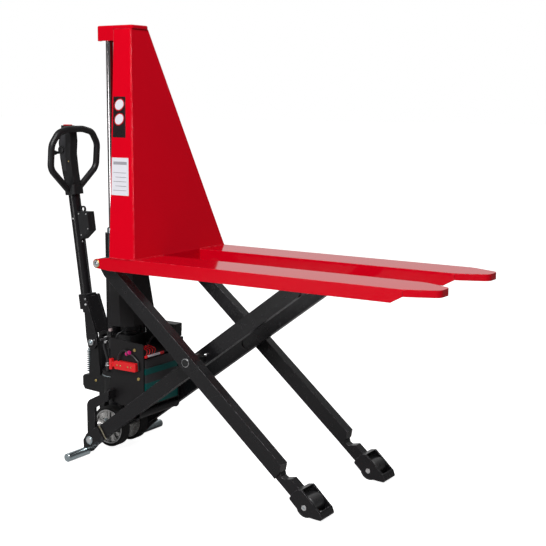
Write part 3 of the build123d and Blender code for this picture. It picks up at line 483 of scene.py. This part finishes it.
def add_inner_arm_details():
    """Grease nipples, the bead along each heel plate and the ring welds of the cross tube."""
    nipples, beads, tube_welds = (bmesh.new() for _ in range(3))
    nipple_profile = [(0.005, 0), (0.005, 0.004), (0.0035, 0.005), (0.0042, 0.009), (0.002, 0.011)]
    bead_path = ((0.041, 0.061), (0.052, 0.047), (0.063, 0.031), (0.075, 0.014))
    for side in (RIGHT, LEFT):
        out = Vector((0, side, 0))
        lathe(nipples, nipple_profile, MIDDLE + ALONG_INNER * 0.024 + out * 0.151, out, 16)
        plate_edge = LOWER_PIVOT + out * 0.1535
        tube(beads, [plate_edge + Vector((x, 0, z)) for x, z in bead_path], 0.0028)
        tube_end = LOWER_PIVOT + ALONG_INNER * 0.232 - SQUARE_INNER * 0.018 + out * 0.1175
        hoop(tube_welds, tube_end, ALONG_INNER, SQUARE_INNER, 0.0215, 0.0022, 12)
    finish_piece(nipples, "grease_nipples", bright_steel, "inner_arms")
    finish_piece(beads, "weld_beads", weld_metal, "inner_arms")
    finish_piece(tube_welds, "cross_tube_welds", black_paint, "inner_arms")


add_pin_ends()
add_inner_arm_details()


# ---- tiller: control box, handle, lever, bolts and cable --------------------
HANDLE_HALF = 0.0200        # half the thickness of the handle spine
CHEEK_HALF = 0.042          # half the width over the cheeks at the foot of the tube


def tiller_spot(forward, up, y):
    """Point given along and across the leaning tiller, from its pivot."""
    x = forward * cos(TILLER_LEAN) - up * sin(TILLER_LEAN)
    z = forward * sin(TILLER_LEAN) + up * cos(TILLER_LEAN)
    return TILLER_PIVOT + Vector((x, y, z))


def add_control_box_details():
    """Cover screws and the seam of the control box, and two screws in the tiller tube."""
    box_screws = bmesh.new()
    for side in (RIGHT, LEFT):
        for forward, up in ((-0.007, 0.508), (0.032, 0.504), (0.032, 0.446), (-0.007, 0.424)):
            screw_head(box_screws, tiller_spot(forward, up, side * 0.020), (0, side, 0), 0.0028, 0.0018)
    finish_piece(box_screws, "control_box_screws", bright_steel, "tiller")

    box_seam = bmesh.new()
    seam_path = ((0.0395, 0.440), (0.0397, 0.460), (0.0397, 0.490), (0.0395, 0.511))
    tube(box_seam, [tiller_spot(forward, up, 0) for forward, up in seam_path], 0.0009, 8)
    finish_piece(box_seam, "control_box_seam", cable_rubber, "tiller")

    tube_screws = bmesh.new()
    screw_head(tube_screws, tiller_spot(-0.036, 0.492, -0.0228), (0, RIGHT, 0), 0.0042, 0.0030)
    screw_head(tube_screws, tiller_spot(-0.0145, 0.398, -0.008), (0.9, -0.4, 0), 0.0030, 0.0025)
    finish_piece(tube_screws, "tube_screws", bright_steel, "tiller")


def add_handle_boot():
    """Boot that closes the joint between the tiller tube and the handle spine."""
    boot = bmesh.new()
    cut_corners = (
        (-1, -0.6), (-0.7, -1), (0.7, -1), (1, -0.6), (1, 0.6), (0.7, 1), (-0.7, 1), (-1, 0.6),
    )
    sections = (                             # setback, height, half depth, half width
        (0.5435, 1.012, 0.0250, 0.0230),
        (0.5437, 1.020, 0.0240, 0.0215),
        (0.5440, 1.030, 0.0238, 0.0204),
        (0.5448, 1.040, 0.0238, 0.0203),
    )
    rings = []
    for setback, z, half_x, half_y in sections:
        spots = [(HEEL_X - setback + half_x * a, half_y * b, z) for a, b in cut_corners]
        rings.append([boot.verts.new(spot) for spot in spots])
    skin_rings(boot, rings)
    finish_piece(boot, "handle_boot", grip_plastic, "tiller", 0.001)


def add_handle_panels():
    """Grey panel and a screw on each face of the handle spine."""
    outline = (                              # setback and height, up the rear and down the front
        (0.572, 1.080), (0.584, 1.135), (0.588, 1.190), (0.580, 1.224),
        (0.560, 1.226), (0.556, 1.190), (0.560, 1.140), (0.554, 1.080),
    )
    panel_thickness = 0.0012
    for side, name in SIDES:
        panel = bmesh.new()
        rings = [
            [panel.verts.new((HEEL_X - setback, side * half, z)) for setback, z in outline]
            for half in (HANDLE_HALF, HANDLE_HALF + panel_thickness)
        ]
        skin_rings(panel, rings)
        finish_piece(panel, f"spine_panel_{name}", panel_grey, "tiller", 0.0006)
    spine_screws = bmesh.new()
    for side in (RIGHT, LEFT):
        spot = (HEEL_X - 0.545, side * HANDLE_HALF, 1.118)
        screw_head(spine_screws, spot, (0, side, 0), 0.0026, 0.0016)
    finish_piece(spine_screws, "spine_screws", brass, "tiller")


def add_lever_grips():
    """Pivot bosses and thumb grips of the finger lever."""
    lever_axis = Vector((HEEL_X - 0.580, 0, 1.163))
    grip_axis = lever_axis + Vector((-0.030, 0, -0.012))
    boss_profile = [(0.0150, 0), (0.0150, 0.004), (0.0120, 0.006)]
    grip_profile = [(0.0060, 0), (0.0090, 0.003), (0.0095, 0.014), (0.0080, 0.019), (0.0050, 0.021)]
    grips = bmesh.new()
    for side in (RIGHT, LEFT):
        out = Vector((0, side, 0))
        lathe(grips, boss_profile, lever_axis + out * 0.0214, out, 32)
        lathe(grips, grip_profile, grip_axis + out * 0.0205, out, 28)
    finish_piece(grips, "lever_grips", grip_plastic, "finger_lever")


def add_tiller_foot():
    """Pivot nuts, the bolts through the cheeks and the cable down the front of the tube."""
    bolts, nuts = bmesh.new(), bmesh.new()
    for side in (RIGHT, LEFT):
        out = Vector((0, side, 0))
        washer_and_nut(nuts, TILLER_PIVOT + out * 0.0500, out, 0.007, 0.006)
        screw_head(bolts, tiller_spot(-0.008, 0.150, side * CHEEK_HALF), out, 0.005, 0.003)
        screw_head(bolts, tiller_spot(-0.007, 0.172, side * CHEEK_HALF), out, 0.004, 0.003)
    finish_piece(nuts, "pivot_nuts", zinc, "steering")
    finish_piece(bolts, "tiller_bolts", bright_steel, "tiller")

    cable = bmesh.new()
    cable_path = [tiller_spot(-0.0105, 0.404, 0)]
    cable_path += [tiller_spot(-0.0108, up, 0) for up in (0.380, 0.330, 0.270, 0.230, 0.196)]
    tube(cable, cable_path, 0.0028)
    finish_piece(cable, "tiller_cable", cable_rubber, "tiller")


add_control_box_details()
add_handle_boot()
add_handle_panels()
add_lever_grips()
add_tiller_foot()


# ---- steering casting: plug screws and spring guide --------------------------
def add_casting_details():
    """Plug screws in the casting, and the rod and collar inside the return spring."""
    screws = bmesh.new()
    for side in (RIGHT, LEFT):
        screw_head(screws, (HEEL_X - 0.4155, side * 0.028, 0.254), (0, side, 0), 0.0058, 0.003)
    finish_piece(screws, "casting_screws", brass, "steering")

    spring_x = HEEL_X - 0.473
    collar_profile = [(0.0105, 0), (0.0105, 0.002), (0.006, 0.003), (0.006, 0.010), (0.004, 0.012)]
    guide = bmesh.new()
    tube(guide, [(spring_x, 0, z) for z in (0.272, 0.300, 0.340, 0.364)], 0.0045, 14)
    lathe(guide, collar_profile, (spring_x, 0, 0.3625), UP, 24)
    finish_piece(guide, "spring_guide", zinc, "steering")


add_casting_details()


# ---- wheels: hub caps, bolts, pleated dish and rim line -----------------------
BOLTS = 5
BOLT_CIRCLE = 0.030
RIM_LINE_RADIUS = 0.0665
PLEATS = 9
PLEAT_DEPTH = 0.0045


def wheel_spot(side, radius, angle, depth):
    """Point on a wheel by radius and angle, at a distance from the truck's middle plane."""
    return WHEEL + Vector((radius * cos(angle), side * depth, radius * sin(angle)))


def add_wheel_details(side, name):
    """Hub cap with its ring of nuts, the bright rim line and the folded dish of the rim."""
    body = f"wheel_{name}"
    out = Vector((0, side, 0))
    hub, rim_line = bmesh.new(), bmesh.new()
    cap_profile = [(0.0150, 0), (0.0150, 0.003), (0.0125, 0.006), (0.0060, 0.0075)]
    lathe(hub, cap_profile, WHEEL + out * 0.0732, out, 32)
    for k in range(BOLTS):
        angle = pi / 2 + 2 * pi * k / BOLTS + pi / BOLTS
        washer_and_nut(hub, wheel_spot(side, BOLT_CIRCLE, angle, 0.0685), out, 0.0048, 0.005)
    finish_piece(hub, f"wheel_hub_{name}", zinc, body)

    hoop(rim_line, WHEEL + out * 0.0738, FORWARD, UP, RIM_LINE_RADIUS, 0.0012, 48)
    finish_piece(rim_line, f"rim_line_{name}", bright_steel, body)

    pleats = bmesh.new()
    folds = 2 * PLEATS
    inner_ring, outer_ring = [], []
    for k in range(folds):
        ridge = PLEAT_DEPTH * (k % 2)
        for ring, radius, depth in ((inner_ring, 0.0185, 0.0640), (outer_ring, 0.0615, 0.0665)):
            ring.append(pleats.verts.new(wheel_spot(side, radius, pi * k / PLEATS, depth + ridge)))
    for k in range(folds):
        after = (k + 1) % folds
        pleats.faces.new((inner_ring[k], inner_ring[after], outer_ring[after], outer_ring[k]))
    finish_piece(pleats, f"rim_pleats_{name}", rim_cast, body, smooth=False)


for side, name in SIDES:
    add_wheel_details(side, name)


# ---- chassis: fittings, valve, contactor and wiring around the pump -----------
def add_pump_fittings():
    """Hose unions, a plug and a filler cap on the pump block."""
    fittings = bmesh.new()
    washer_and_nut(fittings, (HEEL_X - 0.312, -0.0400, 0.446), -FORWARD, 0.0085, 0.012)
    washer_and_nut(fittings, (HEEL_X - 0.340, -0.0400, 0.3275), UP, 0.0095, 0.013)
    for setback in (0.300, 0.232):
        washer_and_nut(fittings, (HEEL_X - setback, -0.0465, 0.430), (0, RIGHT, 0), 0.008, 0.010)
    lathe(
        fittings, [(0.0100, 0), (0.0100, 0.003), (0.0085, 0.004)],
        (HEEL_X - 0.327, -0.0600, 0.447), (-0.3, 0, 1), 28)
    lathe(
        fittings, [(0.0070, 0), (0.0078, 0.002), (0.0070, 0.009)],
        (HEEL_X - 0.328, -0.0600, 0.424), (-0.5, 0, 1), 6)
    finish_piece(fittings, "pump_fittings", bright_steel, "chassis")


def add_lowering_valve():
    """Stepped valve body with a slanted side port, and its pale cap."""
    valve_x, valve_y = HEEL_X - 0.305, -0.0600
    valve, cap = bmesh.new(), bmesh.new()
    body_profile = [(0.0095, 0), (0.0095, 0.040), (0.0075, 0.044), (0.0075, 0.068)]
    lathe(valve, body_profile, (valve_x, valve_y, 0.406), UP, 28)
    disc(valve, 0.0050, 0.030, (valve_x - 0.024, valve_y, 0.420), (0.62, 0, 0.78), 20)
    finish_piece(valve, "lowering_valve", cast_black, "chassis")
    lathe(cap, [(0.0085, 0), (0.0085, 0.006), (0.0065, 0.009)], (valve_x, valve_y, 0.474), UP, 28)
    finish_piece(cap, "lowering_valve_cap", cap_grey, "chassis")


def add_contactor():
    """Round motor relay with a rim at each end and two terminals."""
    x, y, foot_z, terminal_z = HEEL_X - 0.259, 0.068, 0.4075, 0.497
    body_radius, rim_radius, terminal_offset = 0.0175, 0.0195, 0.008
    profile = [
        (rim_radius, 0), (rim_radius, 0.012), (body_radius, 0.014), (body_radius, 0.066),
        (rim_radius, 0.068), (rim_radius, 0.084), (0.0160, 0.090),
    ]
    contactor = bmesh.new()
    lathe(contactor, profile, (x, y, foot_z), UP, 36)
    for offset in (-terminal_offset, terminal_offset):
        washer_and_nut(contactor, (x + offset, y, terminal_z), UP, 0.004, 0.005)
    finish_piece(contactor, "contactor", cast_black, "chassis")


def add_chassis_harness():
    """Two loose cables between the controller, the pump and the battery side."""
    harness = bmesh.new()
    pump_cable = (                           # setback, y, z
        (0.220, -0.060, 0.500), (0.236, -0.075, 0.482), (0.246, -0.090, 0.470),
        (0.248, -0.096, 0.450), (0.244, -0.094, 0.425), (0.240, -0.090, 0.409),
    )
    battery_cable = (
        (0.150, 0.100, 0.470), (0.160, 0.070, 0.462), (0.178, 0.050, 0.452),
        (0.180, 0.020, 0.430), (0.170, 0.000, 0.409),
    )
    for path, radius in ((pump_cable, 0.0032), (battery_cable, 0.0036)):
        tube(harness, [(HEEL_X - setback, y, z) for setback, y, z in path], radius)
    finish_piece(harness, "chassis_harness", cable_rubber, "chassis")


def add_motor_bands():
    """Rolled bands round the two ends of the pump motor."""
    bands = bmesh.new()
    for z in (0.474, 0.586):
        hoop(bands, Vector((HEEL_X - 0.258, 0, z)), FORWARD, Vector((0, 1, 0)), 0.0366, 0.0018, 36)
    finish_piece(bands, "motor_bands", cast_black, "chassis")


add_pump_fittings()
add_lowering_valve()
add_contactor()
add_chassis_harness()
add_motor_bands()


# ---- mast: weld seams at the foot, rod wiper ---------------------------------
def add_mast_welds():
    """Painted weld seams where the mast plate and flanges stand on the forks."""
    welds = bmesh.new()
    for side in (RIGHT, LEFT):
        front_seam = [
            (HEEL_X + 0.0005, side * y, FORK_TOP + 0.0005) for y in (0.112, 0.150, 0.190, 0.230, 0.266)
        ]
        side_seam = [
            (HEEL_X - setback, side * 0.2702, FORK_TOP + 0.0003)
            for setback in (0.004, 0.035, 0.070, 0.100, 0.116)
        ]
        tube(welds, front_seam, 0.0025, 8)
        tube(welds, side_seam, 0.0022, 8)
    finish_piece(welds, "mast_foot_welds", red_paint, "fork_frame")


def add_rod_wiper():
    """Rubber lip round the lifting rod on top of the cylinder."""
    wiper = bmesh.new()
    hoop(wiper, Vector((LIFT_X, 0, 0.8685)), FORWARD, Vector((0, 1, 0)), 0.0172, 0.0018, 32)
    finish_piece(wiper, "rod_wiper", cable_rubber, "chassis")


add_mast_welds()
add_rod_wiper()

# ---- battery trim: bands, terminal bar, wires and caps ------------------------
BATTERY_FRONT = CHASSIS_FRONT + 0.002
BATTERY_SKIN = 0.0965        # outside of the bands, just proud of the case
LID_TOP = 0.392


def add_battery_bands():
    """Two coloured bands let into the battery case."""
    for label, low_z, high_z in (("upper", 0.333, 0.357), ("lower", 0.214, 0.300)):
        box_piece(
            f"battery_band_{label}",
            (CHASSIS_REAR + 0.02, -BATTERY_SKIN, low_z), (BATTERY_FRONT + 0.0006, BATTERY_SKIN, high_z),
            teal_plastic, "chassis", 0.0005)


def add_terminal_bar():
    """Pale bar along the top front edge of the battery, with a red sleeve at each end."""
    x, z = BATTERY_FRONT + 0.004, 0.405
    bar, sleeves = bmesh.new(), bmesh.new()
    along = Vector((0, 1, 0))
    disc(bar, 0.0045, 0.083, (x, -0.099, z), along, 24)
    finish_piece(bar, "terminal_bar", label_white, "chassis")
    for start, length in ((-0.1010, 0.009), (-0.018, 0.022)):
        disc(sleeves, 0.0054, length, (x, start, z), along, 24)
    finish_piece(sleeves, "terminal_sleeves", red_plastic, "chassis")


def add_battery_wires():
    """Four thin wires that arch back from the terminal bar over the lid."""
    wire_count, first_y, pitch = 4, -0.088, 0.016
    wires = bmesh.new()
    for k in range(wire_count):
        y = first_y + pitch * k
        path = [
            (CHASSIS_FRONT - 0.01, y, 0.394),
            (CHASSIS_FRONT - 0.004, y + 0.006, 0.410),
            (CHASSIS_FRONT - 0.012, y + 0.016, 0.424),
            (CHASSIS_FRONT - 0.05, y + 0.02, 0.430),
        ]
        tube(wires, path, 0.0017)
    finish_piece(wires, "battery_wires", red_plastic, "chassis")


def add_battery_caps():
    """Row of cell caps on the lid."""
    cap_count, first_y, pitch = 6, -0.075, 0.03
    caps = bmesh.new()
    for k in range(cap_count):
        lathe(
            caps, [(0.009, 0), (0.009, 0.004), (0.007, 0.006)],
            (CHASSIS_FRONT - 0.03, first_y + pitch * k, LID_TOP), UP, 24)
    finish_piece(caps, "battery_caps", battery_plastic, "chassis")


add_battery_bands()
add_terminal_bar()
add_battery_wires()
add_battery_caps()


# ---- connector: screws and cable ties -----------------------------------------
def add_connector_details():
    """Two screws in each half of the battery connector, and the ties round its cables."""
    screws = bmesh.new()
    for setback in (0.219, 0.203, 0.166, 0.150):
        screw_head(screws, (HEEL_X - setback, -0.124, 0.362), (0, RIGHT, 0), 0.0034, 0.002)
    finish_piece(screws, "connector_screws", brass, "chassis")
    ties = bmesh.new()
    for setback, z in ((0.178, 0.410), (0.166, 0.416)):
        disc(ties, 0.0078, 0.006, (HEEL_X - setback, -0.117, z), (1, 0, 0.3), 20)
    finish_piece(ties, "cable_ties", tie_plastic, "chassis")


add_connector_details()

# ---- floor, studio, lights and camera -----------------------------------------
ROOM_LIGHT = 0.12          # the studio around and behind the camera
BACKDROP_LIGHT = 0.88      # the white paper behind the truck
FLOOR_GLOW = 0.93          # keeps the floor as white as the paper


def add_floor():
    """Wide pale floor: white to the camera, but dimmer in what it reflects onto the truck."""
    mesh = bpy.data.meshes.new("floor")
    builder = bmesh.new()
    bmesh.ops.create_grid(builder, x_segments=1, y_segments=1, size=60)
    builder.to_mesh(mesh)
    builder.free()
    floor = bpy.data.objects.new("floor", mesh)
    bpy.context.collection.objects.link(floor)

    material = bpy.data.materials.new("floor_white")
    material.use_nodes = True
    tree = material.node_tree
    white = tree.nodes["Principled BSDF"]
    white.inputs["Base Color"].default_value = (0.82, 0.82, 0.82, 1)
    white.inputs["Roughness"].default_value = 0.9
    white.inputs["Specular IOR Level"].default_value = 0.0
    white.inputs["Emission Color"].default_value = (1, 1, 1, 1)
    white.inputs["Emission Strength"].default_value = FLOOR_GLOW
    dim = add_node(tree, "ShaderNodeBsdfDiffuse", {"Color": (0.45, 0.45, 0.45, 1)})
    ray = add_node(tree, "ShaderNodeLightPath", {})
    choose = add_node(
        tree, "ShaderNodeMixShader",
        {"Fac": ray.outputs["Is Camera Ray"], 1: dim.outputs["BSDF"], 2: white.outputs["BSDF"]})
    tree.links.new(choose.outputs["Shader"], tree.nodes["Material Output"].inputs["Surface"])
    mesh.materials.append(material)


def add_world():
    """White backdrop to the camera; bright behind the truck and dim elsewhere as a light."""
    world = bpy.data.worlds.new("studio")
    bpy.context.scene.world = world
    world.use_nodes = True
    tree = world.node_tree
    seen = tree.nodes["Background"]
    seen.inputs["Color"].default_value = (1, 1, 1, 1)
    seen.inputs["Strength"].default_value = 1.0
    direction = add_node(tree, "ShaderNodeTexCoord", {})
    towards_back = add_node(
        tree, "ShaderNodeVectorMath", {0: direction.outputs["Generated"], 1: (-0.55, 0.83, 0.1)},
        operation="DOT_PRODUCT")
    strength = add_node(
        tree, "ShaderNodeMapRange",
        {"From Min": 0.5, "From Max": 0.85, "To Min": ROOM_LIGHT, "To Max": BACKDROP_LIGHT,
         "Value": towards_back.outputs["Value"]},
        interpolation_type="SMOOTHSTEP")
    room = add_node(tree, "ShaderNodeBackground", {"Strength": strength.outputs["Result"]})
    ray = add_node(tree, "ShaderNodeLightPath", {})
    choose = add_node(
        tree, "ShaderNodeMixShader",
        {"Fac": ray.outputs["Is Camera Ray"], 1: room.outputs["Background"],
         2: seen.outputs["Background"]})
    tree.links.new(choose.outputs["Shader"], tree.nodes["World Output"].inputs["Surface"])


def area_light(name, place, target, size, power):
    """Square soft box aimed at a point."""
    data = bpy.data.lights.new(name, "AREA")
    data.shape = "SQUARE"
    data.size = size
    data.energy = power
    lamp = bpy.data.objects.new(name, data)
    bpy.context.collection.objects.link(lamp)
    lamp.location = place
    lamp.rotation_euler = (Vector(target) - Vector(place)).to_track_quat("-Z", "Y").to_euler()


def add_camera():
    """Camera to the truck's right and in front, a little above the forks, looking slightly down."""
    pitch, roll, heading = radians(90 - 8.93), radians(-0.26), radians(33.54)
    data = bpy.data.cameras.new("camera")
    data.sensor_width = 36
    data.lens = 72.19
    data.shift_x = 0.0125
    data.clip_end = 200
    camera = bpy.data.objects.new("camera", data)
    bpy.context.collection.objects.link(camera)
    camera.location = (HEEL_X + 2.4907, -3.1941, 1.3569)
    camera.rotation_mode = "XYZ"
    camera.rotation_euler = (pitch, roll, heading)
    bpy.context.scene.camera = camera


add_floor()
add_world()
area_light("key", (1.4, -3.9, 5.0), (-0.2, 0, 0.8), 2.5, 390)
area_light("side", (-2.2, -4.6, 0.9), (-0.6, 0, 0.3), 1.2, 30)
add_camera()
bpy.context.scene.view_settings.view_transform = "Standard"
